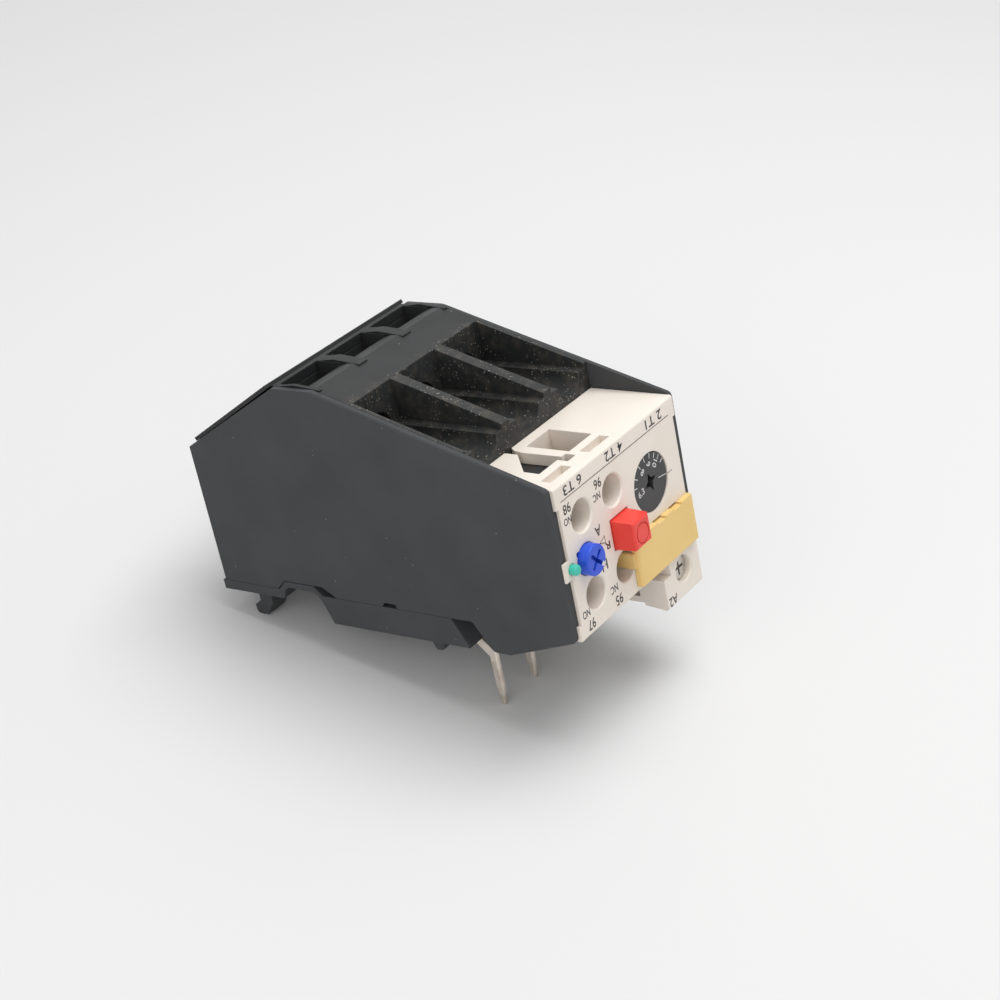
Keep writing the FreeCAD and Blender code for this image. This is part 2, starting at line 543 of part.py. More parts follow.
def add_guides(body):
    """Tubes behind the front wall for screwdriver, dial, button, knob and flag."""
    bosses = [(x, z, "aux_bore+boss_wall") for x, z in AUX.values()]
    for boss in bosses:
        add(body, "XZ", "panel_wall/2", "boss_end-panel_wall/2", boss)
    dial = ("dial_x", "-dial_drop")
    stop = ("-stop_x", "-stop_drop")
    reset = ("-reset_x", "-reset_drop")
    add(body, "XZ", "panel_wall/2", "dial_inset+dial_thick+dial_gap+1-panel_wall/2",
        (*dial, "dial_radius+dial_gap+cup_wall"))
    add(body, "XZ", "dial_thick", "guide_end-dial_thick", (*dial, "dial_stem+fit+cup_wall"))
    add(body, "XZ", "panel_wall/2", "guide_end-panel_wall/2",
        around(*stop, "stop_width/2+guide_gap+cup_wall", "stop_height/2+guide_gap+cup_wall"))
    add(body, "XZ", "panel_wall/2", "guide_end-panel_wall/2",
        (*reset, "reset_radius+guide_gap+cup_wall"))
    cut(body, "XZ", "-1", "dial_inset+dial_thick+dial_gap+1", (*dial, "dial_radius+dial_gap"))
    cut(body, "XZ", "-1", "guide_end+2", (*dial, "dial_stem+fit"))
    cut(body, "XZ", "-1", "guide_end-cup_wall+1",
        around(*stop, "stop_width/2+guide_gap", "stop_height/2+guide_gap"))
    cut(body, "XZ", "guide_end-2", "3", ("-stop_x-rod_shift", "-stop_drop", "rod_radius+fit"))
    cut(body, "XZ", "-1", "guide_end-cup_wall+1", (*reset, "reset_radius+guide_gap"))
    cut(body, "XZ", "guide_end-2", "3", (*reset, "reset_rod+fit"))
    cut(body, "XZ", "-1", "panel_wall+1", ("-reset_x-2.5", "-reset_drop+2.1", "0.55"))
    for x, z in AUX.values():
        cut(body, "XZ", "-1", "boss_end+2", (x, z, "aux_bore"))
        soften(body, "Chamfer", "aux_mouth", (x, "0", f"{z}+aux_bore"))
    cut(body, "XZ", "-1", "guide_end+2", ("-flag_x", "-flag_drop", "flag_radius+fit"))


def make_marking_plate():
    """The clip-on plate over the lower right of the front, with a tongue into a screw hole."""
    body = new_body("marking_plate")
    add(body, "XZ", "-plate_reach", "plate_reach-fit/2",
        rect("-plate_left", "plate_right", "-plate_bottom", "-plate_top"))
    add(body, "XZ", "-plate_reach/2", "plate_reach/2+3.6",
        rect("-tongue_left", "-tongue_left+tongue_wall", "-(aux_lower+1.6)", "-(aux_lower-1.6)"))
    add(body, "XZ", "-plate_reach/2", "plate_reach/2-fit/2",
        rect("-tongue_left", "-plate_left+0.5", "-(aux_lower+1.6)", "-(aux_lower-1.6)"))
    cut(body, "XZ", "-plate_reach-1", "plate_reach+2", *clip_slots("0", "-plate_top-clip_gap", "1"))
    add(body, "XZ", "-plate_reach/2", "plate_reach/2+panel_wall",
        *clip_slots("-fit/2", "-plate_top-2*clip_gap", "clip_gap"))
    soften(body, "Fillet", "0.6", ("-plate_left", "-plate_reach", "-plate_bottom+0.5"))
    soften(body, "Fillet", "0.4", ("plate_right", "-plate_reach", "-plate_bottom+0.5"),
           ("plate_right-1.0", "-plate_reach", "-plate_bottom"))
    return body


def clip_slots(margin, low, height):
    """The outlines of the two clips along the plate's top edge, with a margin round them."""
    spans = [("plate_right-13.1", "plate_right-10.1"), ("plate_right-7.1", "plate_right-4.1")]
    return [rect(f"{left}-({margin})", f"{right}+({margin})", f"{low}-({margin})",
                 f"{low}+{height}+({margin})") for left, right in spans]


def make_coil_block():
    """The block for the coil terminal below the front wall."""
    body = new_body("coil_block")
    top = "-(panel_drop+fit)"
    side = [("0", top), ("0", "-coil_drop"), ("coil_step", "-(coil_drop-0.6)"),
            ("coil_step", "-(coil_drop-1.2)"), ("coil_depth", "-(coil_drop-1.2)"),
            ("coil_depth", top)]
    wide = "width/2-cover_wall-fit-coil_left"
    add(body, "YZ", "coil_left", wide, side)
    cut(body, "XZ", "-1", "4.2", rect("coil_left-1", "coil_left+2.6", f"{top}-2.6", f"{top}+1"))
    room = rect("coil_screw_x-4.6", "coil_screw_x+4.6", "-(coil_drop-2.2)", "-(panel_drop+1.0)")
    cut(body, "XZ", "4.2", "coil_depth", room)
    cut(body, "YZ", "coil_left-1", "4", rect("coil_step+0.9", "coil_step+3.3", "-(coil_drop-2.6)",
                                            "-(coil_drop-4.8)"))
    cut(body, "XZ", "-1", "6", ("coil_screw_x", "-coil_screw_drop", "coil_bore"))
    soften(body, "Chamfer", "aux_mouth", ("coil_screw_x", "0", "-coil_screw_drop-coil_bore"))
    soften(body, "Fillet", "0.6", ("coil_left+2", "0", "-coil_drop"))
    return body


# ---- controls ------------------------------------------------------------------------------------

def make_dial():
    """The setting dial: a disc in the front wall on a stem, with a cross slot."""
    body = new_body("setting_dial")
    centre = ("dial_x", "-dial_drop")
    add(body, "XZ", "dial_inset", "dial_thick", (*centre, "dial_radius"))
    add(body, "XZ", "dial_inset+dial_thick", "dial_stem_end-dial_thick-dial_inset",
        (*centre, "dial_stem"))
    x, z = centre
    star = []
    for corner in range(8):
        reach = "star_waist" if corner % 2 else "star_radius"
        angle = f"(star_turn+{45 * corner})"
        star.append((f"{x}+{reach}*cos({angle})", f"{z}+{reach}*sin({angle})"))
    cut(body, "XZ", "dial_inset-1", "2.6", star)
    soften(body, "Chamfer", "0.2", (x, "dial_inset", f"{z}+dial_radius"))
    return body


def make_cam():
    """The eccentric on the dial's stem."""
    body = new_body("setting_cam")
    add(body, "XZ", "cam_front", "cam_thick", ("dial_x", "-dial_drop+cam_throw", "cam_radius"))
    cut(body, "XZ", "cam_front-1", "cam_thick+2", ("dial_x", "-dial_drop", "dial_stem+fit/4"))
    return body


def make_setting_lever():
    """The lever that follows the cam and sets the trip point."""
    body = new_body("setting_lever")
    top, height = "-(dial_drop-1.6)", "3.2"
    low = f"{top}-{height}"
    add(body, "XY", low, height, ("setter_x", "setter_y", "hub_radius"))
    face = "dial_x+cam_radius+0.25"
    arm = [(face, "cam_front-0.2"), (f"{face}+1.4", "cam_front-0.2"),
           ("setter_x-0.2", "setter_y-0.6"), ("setter_x-1.6", "setter_y+0.4")]
    add(body, "XY", low, height, arm)
    add(body, "XY", low, height, rect("setter_x-0.7", "setter_x+0.7", "setter_y+1", "setter_y+4.6"))
    cut(body, "XY", f"{low}-1", f"{height}+2", ("setter_x", "setter_y", "pivot_radius+fit/2"))
    return body


def make_stop_button():
    """The square stop button, with a rod that reaches the break contact."""
    body = new_body("stop_button")
    centre = ("-stop_x", "-stop_drop")
    block = add(body, "XZ", "-stop_reach", "stop_reach+stop_rear",
                around(*centre, "stop_width/2-stop_taper", "stop_height/2-stop_taper"))
    block.setExpression("TaperAngle", formula("atan(stop_taper/(stop_reach+stop_rear))"))
    add(body, "XZ", "stop_rear", "blade_front-stop_travel-fit-stop_rear",
        ("-stop_x-rod_shift", "-stop_drop", "rod_radius"))
    x, z = centre
    low = f"{z}-0.2"
    ring = [(x, low, "ring_radius"), (x, low, "ring_radius-ring_wall")]
    cut(body, "XZ", "-stop_reach-1", "1.25", *ring)
    half = "(stop_width/2-stop_taper)"
    high = "(stop_height/2-stop_taper)"
    soften(body, "Chamfer", "0.3",
           (x, "-stop_reach", f"{z}+{high}"), (x, "-stop_reach", f"{z}-{high}"),
           (f"{x}-{half}", "-stop_reach", z), (f"{x}+{half}", "-stop_reach", z))
    return body


def make_reset_knob():
    """The reset knob: a short drum with a cross slot, turned between hand and automatic."""
    body = new_body("reset_knob")
    x, z = "-reset_x", "-reset_drop"
    add(body, "XZ", "-reset_reach", "reset_reach+reset_rear", (x, z, "reset_radius"))
    for angle in (45, 135):
        cut(body, "XZ", "-reset_reach-1", "2.2", turned_bar(x, z, "2.1", "0.38", angle))
    cut(body, "XZ", "-0.4", "reset_rear+1", (x, z, "1.2+fit/2"))
    soften(body, "Chamfer", "0.25", (x, "-reset_reach", f"{z}+reset_radius"))
    return body


def make_reset_stem():
    """The stem that carries the knob and pushes the works back."""
    body = new_body("reset_stem")
    x, z = "-reset_x", "-reset_drop"
    add(body, "XZ", "-0.3", "reset_rear+0.4", (x, z, "1.2"))
    add(body, "XZ", "reset_rear+fit/2", "collar", (x, z, "reset_radius-0.4"))
    add(body, "XZ", "reset_rear+0.5", "7.5", (x, z, "reset_rod"))
    return body


def make_flag():
    """The trip flag: a pin through the front wall, with an arm to the contact carrier."""
    body = new_body("trip_flag")
    add(body, "XZ", "-flag_reach", "flag_reach+9.4", ("-flag_x", "-flag_drop", "flag_radius"))
    low, high = "-(flag_drop+0.9)", "-(flag_drop-0.9)"
    add(body, "XZ", "9.4", "1.2", rect("-flag_x-0.5", "-arm_side+1.2", low, high))
    add(body, "XZ", "9.4", "carrier_front-9.4", rect("-arm_side", "-arm_side+1.2", low, high))
    soften(body, "Chamfer", "0.25", ("-flag_x", "-flag_reach", "-flag_drop+flag_radius"))
    return body


# ---- trip works ----------------------------------------------------------------------------------

def make_slide():
    """The slide that the three bimetals push, with a window for each and a lug for the lever."""
    body = new_body("trip_slide")
    add(body, "XZ", "slide_front", "slide_thick",
        rect("-slide_half", "slide_half", "-slide_bottom", "-slide_top"))
    add(body, "XZ", "slide_front", "slide_thick",
        rect("-(lever_x+2.2)", "-(lever_x+0.8)", "-slide_top-0.5", "-lever_top"))
    windows = [rect(f"{pole}-strip_thick/2-slide_travel-0.25", f"{pole}+strip_thick/2+0.15",
                    "-(strip_bottom+0.3)", "-(strip_top-0.3)") for pole in POLES]
    cut(body, "XZ", "slide_front-1", "slide_thick+2", *windows)
    return body


def make_trip_lever():
    """The bell crank between the slide and the contact carrier."""
    body = new_body("trip_lever")
    low, height = "-lever_bottom", "lever_bottom-lever_top"
    add(body, "XY", low, height, ("-lever_x", "lever_y", "hub_radius"))
    add(body, "XY", low, height,
        rect("-lever_x-0.6", "-lever_x+0.6", "lever_y+1.2", "slide_front+slide_thick-0.2"))
    side = [("-lever_x+0.6", "lever_y-1"), ("-lever_x-1.2", "lever_y-1"),
            ("-lever_x-1.2", "carrier_front-0.2"), ("-lever_x-6.3", "carrier_front-0.2"),
            ("-lever_x-6.3", "carrier_front-1.5"), ("-lever_x+0.6", "carrier_front-1.5")]
    add(body, "XY", low, height, side)
    cut(body, "XY", f"{low}-1", f"{height}+2", ("-lever_x", "lever_y", "pivot_radius+fit/2"))
    return body


def make_pivot(label, x, y):
    """A steel pin from the floor to the roof of the front room."""
    body = new_body(label)
    add(body, "XY", "-(front_room_floor+0.9)", "front_room_floor-front_room_roof+1.8",
        (x, y, "pivot_radius"))
    return body


def make_carrier():
    """The contact carrier: a plate with a hook before each blade and a lug behind the lever."""
    body = new_body("contact_carrier")
    low, high = "-carrier_bottom", "-carrier_top"
    add(body, "XZ", "carrier_front", "carrier_thick", rect("-carrier_side", "-0.6", low, high))
    add(body, "XZ", "carrier_front", "carrier_thick",
        rect("-carrier_side", "-carrier_side+2.1", f"{high}-0.5", "-lever_top"))
    lug_front = "blade_front-0.15-1.1"
    for x in ("-aux_right", "-aux_left"):
        edge = f"{x}+blade_half+0.2"
        add(body, "XZ", lug_front, f"carrier_front+0.5-({lug_front})",
            rect(edge, f"{edge}+1.0", "-(carrier_top+1.5)", high))
        add(body, "XZ", lug_front, "1.1",
            rect(f"{edge}-1.2", f"{edge}+0.5", "-(carrier_top+1.5)", high))
    return body


def make_blade(label, x, rivet_side):
    """A moving contact: a springy blade with a rivet at its tip."""
    body = new_body(label)
    add(body, "XZ", "blade_front", "blade_thick",
        rect(f"{x}-blade_half", f"{x}+blade_half", "-blade_root", "-blade_tip"))
    if rivet_side < 0:
        add(body, "XZ", "blade_front-0.85", "0.85", (x, "-rivet_drop", "rivet_radius"))
    else:
        add(body, "XZ", "blade_front+blade_thick", "0.8", (x, "-rivet_drop", "rivet_radius"))
    return body


def make_aux_terminal(label, x, z):
    """A flat auxiliary terminal bar with a threaded hole."""
    body = new_body(label)
    half = "aux_plate/2"
    add(body, "XZ", "aux_bar_front", "aux_bar_thick", around(x, z, half, half))
    rear = "aux_bar_front+aux_bar_thick"
    if label in ("terminal_95", "terminal_97"):
        foot = rect(f"{x}-blade_half", f"{x}+blade_half", "-(blade_root+0.8)", "-(blade_root-0.8)")
        add(body, "XZ", rear, f"blade_front-fit/2-({rear})", foot)
    if label == "terminal_96":
        tail = rect(f"{x}-blade_half", f"{x}+blade_half", "-(rivet_drop+1.2)", f"{z}-aux_plate/2+1")
        add(body, "XZ", "aux_bar_front", "aux_bar_thick", tail)
        add(body, "XZ", rear, f"blade_front-0.85-fit/2-({rear})", (x, "-rivet_drop", "rivet_radius"))
    if label == "terminal_98":
        fixed = "blade_front+blade_thick+0.8+contact_gap"
        step = rect(f"{x}-3.8", f"{x}-2.4", "-(rivet_drop+0.8)", f"{z}-aux_plate/2+0.9")
        add(body, "XZ", "aux_bar_front", f"{fixed}+0.9-aux_bar_front", step)
        add(body, "XZ", fixed, "0.9",
            rect(f"{x}-3.8", f"{x}+1.2", "-(rivet_drop+1.2)", "-(rivet_drop-1.0)"))
    cut(body, "XZ", "aux_bar_front-1", "aux_bar_thick+2", (x, z, "aux_shank+fit/2"))
    return body


# ---- current path --------------------------------------------------------------------------------

def make_pin(label, x, drop):
    """A plug pin: a flat blade with a tapered tip, cranked where it leaves the case."""
    body = new_body(label)
    half = "pin_wide/2"
    root = "pin_knee-(pin_root_y-pin_y)"
    side = [
        (f"pin_y-{half}", f"-({drop}-pin_taper)"), (f"pin_y-{half}+0.4", f"-({drop})"),
        (f"pin_y+{half}-0.4", f"-({drop})"), (f"pin_y+{half}", f"-({drop}-pin_taper)"),
        (f"pin_y+{half}", "-(pin_knee+0.4)"), (f"pin_root_y+{half}", f"-({root}+0.4)"),
        (f"pin_root_y+{half}", "-pin_root_drop"), (f"pin_root_y-{half}", "-pin_root_drop"),
        (f"pin_root_y-{half}", f"-({root}-0.4)"), (f"pin_y-{half}", "-(pin_knee-0.4)"),
    ]
    add(body, "YZ", f"{x}-pin_thick/2", "pin_thick", side)
    long_edges = [(f"{x}{across}pin_thick/2", f"pin_y{back}{half}", f"-({drop}-6)")
                  for across in "+-" for back in "+-"]
    soften(body, "Chamfer", "pin_thick/4", *long_edges)
    return body


def make_all():
    """Every sub-part made as a body."""
    make_housing()
    make_cover("left_cover", -1)
    make_cover("right_cover", 1)
    make_base()
    make_rear_cover()
    make_wire_guard()
    make_front_panel()
    make_marking_plate()
    make_coil_block()
    make_dial()
    make_cam()
    make_setting_lever()
    make_stop_button()
    make_reset_knob()
    make_reset_stem()
    make_flag()
    make_slide()
    make_trip_lever()
    make_pivot("trip_pivot", "-lever_x", "lever_y")
    make_pivot("setting_pivot", "setter_x", "setter_y")
    make_carrier()
    make_blade("break_blade", "-aux_right", -1)
    make_blade("make_blade", "-aux_left", 1)
    for number, (x, z) in AUX.items():
        make_aux_terminal("terminal_" + number, x, z)
    for number, x in enumerate(PINS, 1):
        make_pin(f"plug_pin_{number}", x, "pin_drop-pin_short" if number == 3 else "pin_drop")


make_all()


# ---- sets of like pieces, made by booleans of primitives -----------------------------------------

def solid(shape, **sizes):
    """A Part primitive whose sizes and place are bound to formulas."""
    item = doc.addObject("Part::" + shape, shape.lower())
    for name, text in sizes.items():
        path = "Placement.Base." + name if name in ("x", "y", "z") else name
        item.setExpression(path, formula(text))
    return item


def drum(x, y, z, radius, length):
    """A cylinder along Y from y."""
    item = solid("Cylinder", Radius=radius, Height=length)
    item.Placement.Rotation = FreeCAD.Rotation(FreeCAD.Vector(1, 0, 0), -90)
    for axis, text in zip("xyz", (x, y, z)):
        item.setExpression("Placement.Base." + axis, formula(text))
    return item


def brick(x, y, z, length, width, height):
    """A box from its lowest corner."""
    return solid("Box", x=x, y=y, z=z, Length=length, Width=width, Height=height)


def join(kind, *items):
    """A cut or fusion of two or more items."""
    if kind == "Cut":
        result = doc.addObject("Part::Cut", "cut")
        result.Base, result.Tool = items
    else:
        result = doc.addObject("Part::MultiFuse", "fuse")
        result.Shapes = list(items)
    return result


def group(label, items):
    """Separate solids that share a node."""
    result = doc.addObject("Part::Compound", label + "_set")
    result.Links = items
    result.Label = label
    subparts.append(result)
    return result


def screw(x, y, z, head, head_height, shank, end, slot):
    """A cheese-head screw along Y with a cross slot."""
    top = drum(x, y, z, head, head_height)
    stem = drum(x, f"{y}+({head_height})/2", z, shank, f"({end})-({y})-({head_height})/2")
    long, thin = f"2*({slot})", f"({slot})/3"
    across = brick(f"{x}-({slot})", f"{y}-1", f"{z}-{thin}/2", long, "1.9", thin)
    upright = brick(f"{x}-{thin}/2", f"{y}-1", f"{z}-({slot})", thin, "1.9", long)
    return join("Cut", join("Cut", join("Fuse", top, stem), across), upright)


def holed_plate(x, y, z, half_x, half_z, thick, bore):
    """A flat plate across Y with a bore."""
    plate = brick(f"{x}-({half_x})", y, f"{z}-({half_z})", f"2*({half_x})", thick, f"2*({half_z})")
    return join("Cut", plate, drum(x, f"{y}-1", z, bore, f"{thick}+2"))


def make_sets():
    """Screws, washers, clamps, bars, bimetals and heaters."""
    group("aux_screws", [screw(x, "aux_head_front", z, "aux_head", "aux_head_height", "aux_shank",
                               "aux_screw_end", "1.8") for x, z in AUX.values()])
    group("aux_washers", [holed_plate(x, "aux_head_front+aux_head_height+fit", z, "aux_plate/2",
                                      "aux_plate/2-0.2", "aux_washer_thick", "aux_shank+0.2")
                          for x, z in AUX.values()])
    group("main_screws", [screw(x, "screw_head_front", "trough_height", "screw_head",
                                "screw_head_height", "screw_shank", "bar_y", "2.2")
                          for x in POLES])
    group("cage_clamps", [make_cage(x) for x in POLES])
    group("terminal_bars", [make_bar(x) for x in POLES])
    group("bimetals", [brick(f"{x}-strip_thick/2", "strip_front", "-strip_bottom", "strip_thick",
                             "bar_end-bar_thick-strip_front", "strip_bottom-strip_top")
                       for x in POLES])
    group("heaters", [make_heater(pole, pin) for pole, pin in zip(POLES, PINS)])
    group("coil_screw", [screw("coil_screw_x", "1.3", "-coil_screw_drop", "coil_bore-0.3", "2.9",
                               "1.4", "8.4", "1.7")])
    group("coil_washer", [holed_plate("coil_screw_x", "4.4", "-coil_screw_drop", "3.6", "2.3",
                                      "0.9", "1.6")])
    make_spring("stop_spring", "-stop_x-rod_shift", "stop_rear", "-stop_drop", "1.6",
                "guide_end-cup_wall-stop_rear", 3)
    make_spring("reset_spring", "-reset_x", "reset_rear+fit/2+collar", "-reset_drop", "2.3",
                "guide_end-cup_wall-(reset_rear+fit/2+collar)", 3)
    group("coil_terminal", [holed_plate("coil_screw_x", "7.1", "-coil_screw_drop", "4.5", "2.4",
                                        "1.0", "1.45")])


def make_spring(label, x, y, z, radius, length, turns):
    """A coil spring along Y, from y over its length."""
    spine = solid("Helix", Radius=radius, Height=f"{length}-2*wire-fit",
                  Pitch=f"({length}-2*wire-fit)/{turns}")
    ring = solid("RegularPolygon", Circumradius="wire", x=radius)
    ring.Polygon = 6
    ring.Placement.Rotation = FreeCAD.Rotation(FreeCAD.Vector(1, 0, 0), 90)
    coil = doc.addObject("Part::Sweep", "sweep")
    coil.Sections = [ring]
    coil.Spine = (spine, ["Edge1"])
    coil.Solid = True
    coil.Frenet = True
    coil.Placement.Rotation = FreeCAD.Rotation(FreeCAD.Vector(1, 0, 0), -90)
    for axis, text in zip("xyz", (x, f"{y}+wire+fit/2", z)):
        coil.setExpression("Placement.Base." + axis, formula(text))
    group(label, [coil])


def make_cage(x):
    """A box clamp: a steel ring whose thick front wall is threaded."""
    low = "trough_height-chamber_drop+fit"
    height = "2*chamber_drop-2*fit"
    ring = brick(f"{x}-cage_half", "cage_front", low, "2*cage_half", "cage_rear-cage_front", height)
    window = brick(f"{x}-cage_half+cage_wall", "cage_front+cage_nut", f"{low}-1",
                   "2*(cage_half-cage_wall)", "cage_rear-cage_front-cage_nut-cage_wall",
                   f"{height}+2")
    bore = drum(x, "cage_front-1", "trough_height", "screw_shank+fit/2", "cage_nut+2")
    return join("Cut", join("Cut", ring, window), bore)


def make_bar(x):
    """A terminal bar: up into the clamp, back over the cell, down to the bimetal's root."""
    roof = "-(rear_room_roof+0.4)"
    up = brick(f"{x}-bar_half", "bar_y", f"{roof}-bar_thick", "2*bar_half", "bar_thick",
               f"trough_height+chamber_drop-0.6-({roof})+bar_thick")
    back = brick(f"{x}-bar_half", "bar_y", f"{roof}-bar_thick", "2*bar_half", "bar_end-bar_y",
                 "bar_thick")
    down = brick(f"{x}-bar_half/2", "bar_end-bar_thick", "-strip_bottom", "bar_half", "bar_thick",
                 f"strip_bottom+({roof})")
    return join("Fuse", up, back, down)


def make_heater(pole, pin):
    """A heater sleeve round the bimetal, with a lead that runs forward to the plug pin."""
    half = "(strip_thick/2+0.2+heater_wall)"
    low = "-(strip_bottom+0.2+heater_wall)"
    height = "strip_bottom-strip_top+0.4+2*heater_wall"
    sleeve = brick(f"{pole}-{half}", "heater_front", low, f"2*{half}", "heater_rear-heater_front",
                   height)
    inside = brick(f"{pole}-strip_thick/2-0.2", "heater_front-1", "-(strip_bottom+0.2)",
                   "strip_thick+0.4", "heater_rear-heater_front+2", "strip_bottom-strip_top+0.4")
    tube = join("Cut", sleeve, inside)
    rear = "pin_root_y+pin_wide/2+fit/2"
    riser = brick(f"{pole}-lead_thick/2", "heater_front", "-lead_bottom", "lead_thick", "2.5",
                  f"lead_bottom+({low})+0.3")
    runner = brick(f"{pole}-lead_thick/2", rear, "-lead_bottom", "lead_thick",
                   f"heater_front+1-({rear})", "lead_bottom-lead_top")
    cross = brick(f"{pin}-pin_thick/2", rear, "-lead_bottom",
                  f"{pole}+lead_thick/2-({pin}-pin_thick/2)", "lead_thick", "lead_bottom-lead_top")
    return join("Fuse", tube, riser, runner, cross)


make_sets()
doc.recompute()

# ---- place, check and write ----------------------------------------------------------------------

for item in subparts:
    item.setExpression("Placement.Base.x", formula("pin_middle"))
    item.setExpression("Placement.Base.y", formula("-pin_y"))
    item.setExpression("Placement.Base.z", formula("pin_drop"))
doc.recompute()

for item in doc.Objects:
    if "Invalid" in item.State or "Error" in item.State:
        raise RuntimeError(f"{item.Label} ({item.Name}) did not build: {item.State}")
    if item.TypeId == "PartDesign::Pocket":
        if item.Shape.Volume > item.BaseFeature.Shape.Volume - 1e-6:
            raise RuntimeError(f"{item.Name} cuts nothing")

os.makedirs("parts", exist_ok=True)
for item in subparts:
    shape = item.Shape
    if shape.isNull() or not shape.isValid():
        raise RuntimeError(f"{item.Label} is not a valid shape")
    shape.exportStep(f"parts/{item.Label}.step")
    print(f"{item.Label}: {len(shape.Solids)} solid(s), {shape.Volume:.1f} mm3")
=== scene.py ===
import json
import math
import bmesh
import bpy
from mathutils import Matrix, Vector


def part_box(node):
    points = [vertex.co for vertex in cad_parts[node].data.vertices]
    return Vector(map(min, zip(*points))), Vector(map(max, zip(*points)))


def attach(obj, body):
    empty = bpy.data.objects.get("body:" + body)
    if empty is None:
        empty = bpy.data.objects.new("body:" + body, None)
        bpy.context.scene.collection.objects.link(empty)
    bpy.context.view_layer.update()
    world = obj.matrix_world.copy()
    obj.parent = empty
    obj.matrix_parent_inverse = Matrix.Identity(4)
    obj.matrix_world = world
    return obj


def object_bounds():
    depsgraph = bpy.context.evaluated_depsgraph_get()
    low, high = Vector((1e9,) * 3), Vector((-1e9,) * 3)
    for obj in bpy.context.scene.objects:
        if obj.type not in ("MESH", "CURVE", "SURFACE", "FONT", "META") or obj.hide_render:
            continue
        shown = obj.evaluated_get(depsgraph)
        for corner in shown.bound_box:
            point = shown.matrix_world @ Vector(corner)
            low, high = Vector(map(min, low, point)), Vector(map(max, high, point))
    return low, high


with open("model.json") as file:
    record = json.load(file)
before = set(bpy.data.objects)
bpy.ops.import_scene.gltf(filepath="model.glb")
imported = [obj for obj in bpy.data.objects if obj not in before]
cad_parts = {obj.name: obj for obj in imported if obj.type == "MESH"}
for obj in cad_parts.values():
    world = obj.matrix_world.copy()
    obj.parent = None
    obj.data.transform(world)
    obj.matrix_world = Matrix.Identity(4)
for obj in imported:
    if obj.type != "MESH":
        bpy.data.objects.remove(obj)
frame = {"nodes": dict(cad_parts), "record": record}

# %% [markdown]
# # A thermal overload relay, dressed
# The relay's solids come in from the CAD frame, in metres, and stay where they are.
# Blender adds what a solid cannot say: what each piece is moulded, plated or printed with.
# The box of the bare solids is kept first, and the lamps look at its middle.

bare_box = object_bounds()
print("bare box in mm:", [[round(1000 * value, 1) for value in corner] for corner in bare_box])

# %% [markdown]
# ## A frame to measure in
# Everything printed on the relay lies on its front wall, so the front wall is the handiest zero:
# x runs right from the middle, y runs back from the front face, and z runs up from the deck's
# front edge.
# The zero is read from the solids, so the print follows the relay if it moves.

# %% the front wall's zero, and millimetres to metres
MM = 0.001
cover_left, cover_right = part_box("left_cover"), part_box("right_cover")
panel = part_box("front_panel")
zero = Vector(((cover_left[0][0] + cover_right[1][0]) / 2, panel[0][1], panel[1][2]))


def at(x, y, z):
    """A point in metres, from millimetres right, back and up from the front wall's zero."""
    return zero + Vector((x, y, z)) * MM


print("front wall's zero in mm:", [round(1000 * value, 2) for value in zero])

# %% [markdown]
# ## Colours and nodes
# Colours are written as they are picked, in sRGB hex, and a shader wants them linear.
# One function adds any node: its settings by name, and its sockets from values or from other
# sockets.

# %% helpers for every material
def linear(hex_text):
    """An sRGB hex colour as linear red, green, blue and alpha."""
    channels = [int(hex_text[place:place + 2], 16) / 255 for place in (1, 3, 5)]
    return [c / 12.92 if c <= 0.04045 else ((c + 0.055) / 1.055) ** 2.4 for c in channels] + [1.0]


def add(tree, kind, sockets=None, **settings):
    """Adds one node with its settings, and fills its sockets with values or links."""
    made = tree.nodes.new("ShaderNode" + kind)
    for name, value in settings.items():
        setattr(made, name, value)
    for name, value in (sockets or {}).items():
        if isinstance(value, bpy.types.NodeSocket):
            tree.links.new(value, made.inputs[name])
        else:
            made.inputs[name].default_value = value
    return made


def new_material(name):
    """An empty node material."""
    material = bpy.data.materials.new(name)
    material.use_nodes = True
    material.node_tree.nodes.clear()
    return material, material.node_tree


def finish_material(tree, colour, sockets):
    """Puts a Principled shader and the output at the end of a material."""
    shader = add(tree, "BsdfPrincipled", {"Base Color": colour, **sockets})
    add(tree, "OutputMaterial", {"Surface": shader.outputs["BSDF"]})


print("the case's black in linear:", [round(value, 4) for value in linear("#262728")])

# %% [markdown]
# ## Moulded plastic
# Glass-filled polyamide comes out of a spark-eroded mould with a fine even grain and slightly
# round edges. The grain is about 0.1 mm on the real part and is drawn at 0.35 mm, because a finer
# one would not show.
# The Bevel node rounds edges for the light only, so the solids keep their shape. Where the rounded
# normal leaves the flat one the surface is an edge, and edges are painted a little paler: a painted
# highlight along every edge, with slight wear.
# Broad cloudy noise, about 14 mm across, keeps a large face from looking like one flat colour.

# %% noise, blending, and edges painted paler as highlight and wear
def clouded(tree, place, size_mm, low, high):
    """Soft noise with clouds of a size in millimetres, from 0 to 1 between two levels."""
    noise = add(tree, "TexNoise", {"Vector": place, "Scale": 1 / (size_mm * MM), "Detail": 3.0})
    spread = add(tree, "MapRange", {"Value": noise.outputs["Fac"],
                                    "From Min": low, "From Max": high})
    return spread.outputs["Result"]


def blended(tree, share, first, second):
    """One colour turning into another, by a share from 0 to 1."""
    mixer = add(tree, "Mix", data_type="RGBA")
    tree.links.new(share, mixer.inputs["Factor"])
    for socket, colour in (("A", first), ("B", second)):
        target = next(item for item in mixer.inputs if item.name == socket and item.type == "RGBA")
        if isinstance(colour, bpy.types.NodeSocket):
            tree.links.new(colour, target)
        else:
            target.default_value = linear(colour)
    return next(item for item in mixer.outputs if item.type == "RGBA")


